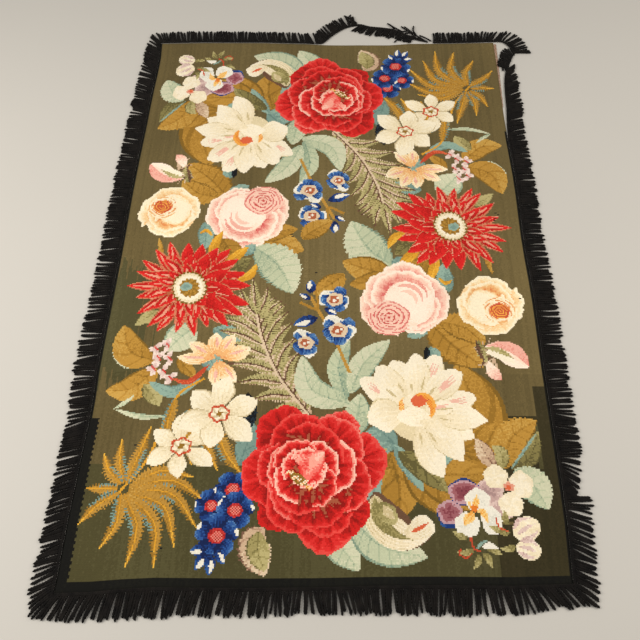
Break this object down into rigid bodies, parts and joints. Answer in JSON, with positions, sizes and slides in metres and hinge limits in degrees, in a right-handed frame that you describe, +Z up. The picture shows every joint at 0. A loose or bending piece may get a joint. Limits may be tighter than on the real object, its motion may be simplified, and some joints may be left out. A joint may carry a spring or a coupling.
{
  "type": "embroidered wall hanging",
  "caption": "Flat wool cross-stitch panel covered in garden flowers on an olive ground, with a black corded fringe sewn round its edge that has come loose along the top and at one corner.",
  "frame": {"origin": "middle of the panel's underside, on the plane that it rests on", "axes": "+X across the width to the right, +Y up the length to the edge that hangs from a wall, +Z up out of the stitched face"},
  "size_m": [1.3941, 2.0814, 0.0066],
  "materials": {
    "stitched_wool": "matte",
    "black_wool": "matte",
    "backing_linen": "matte"
  },
  "bodies": {
    "root": {"embroidered_panel": "stitched_wool", "backing_edge": "backing_linen", "fringe_left": "black_wool", "fringe_bottom": "black_wool", "fringe_right": "black_wool", "fringe_top_right": "black_wool", "fringe_top_left": "black_wool", "fringe_loose_end": "black_wool"}
  },
  "joints": []
}
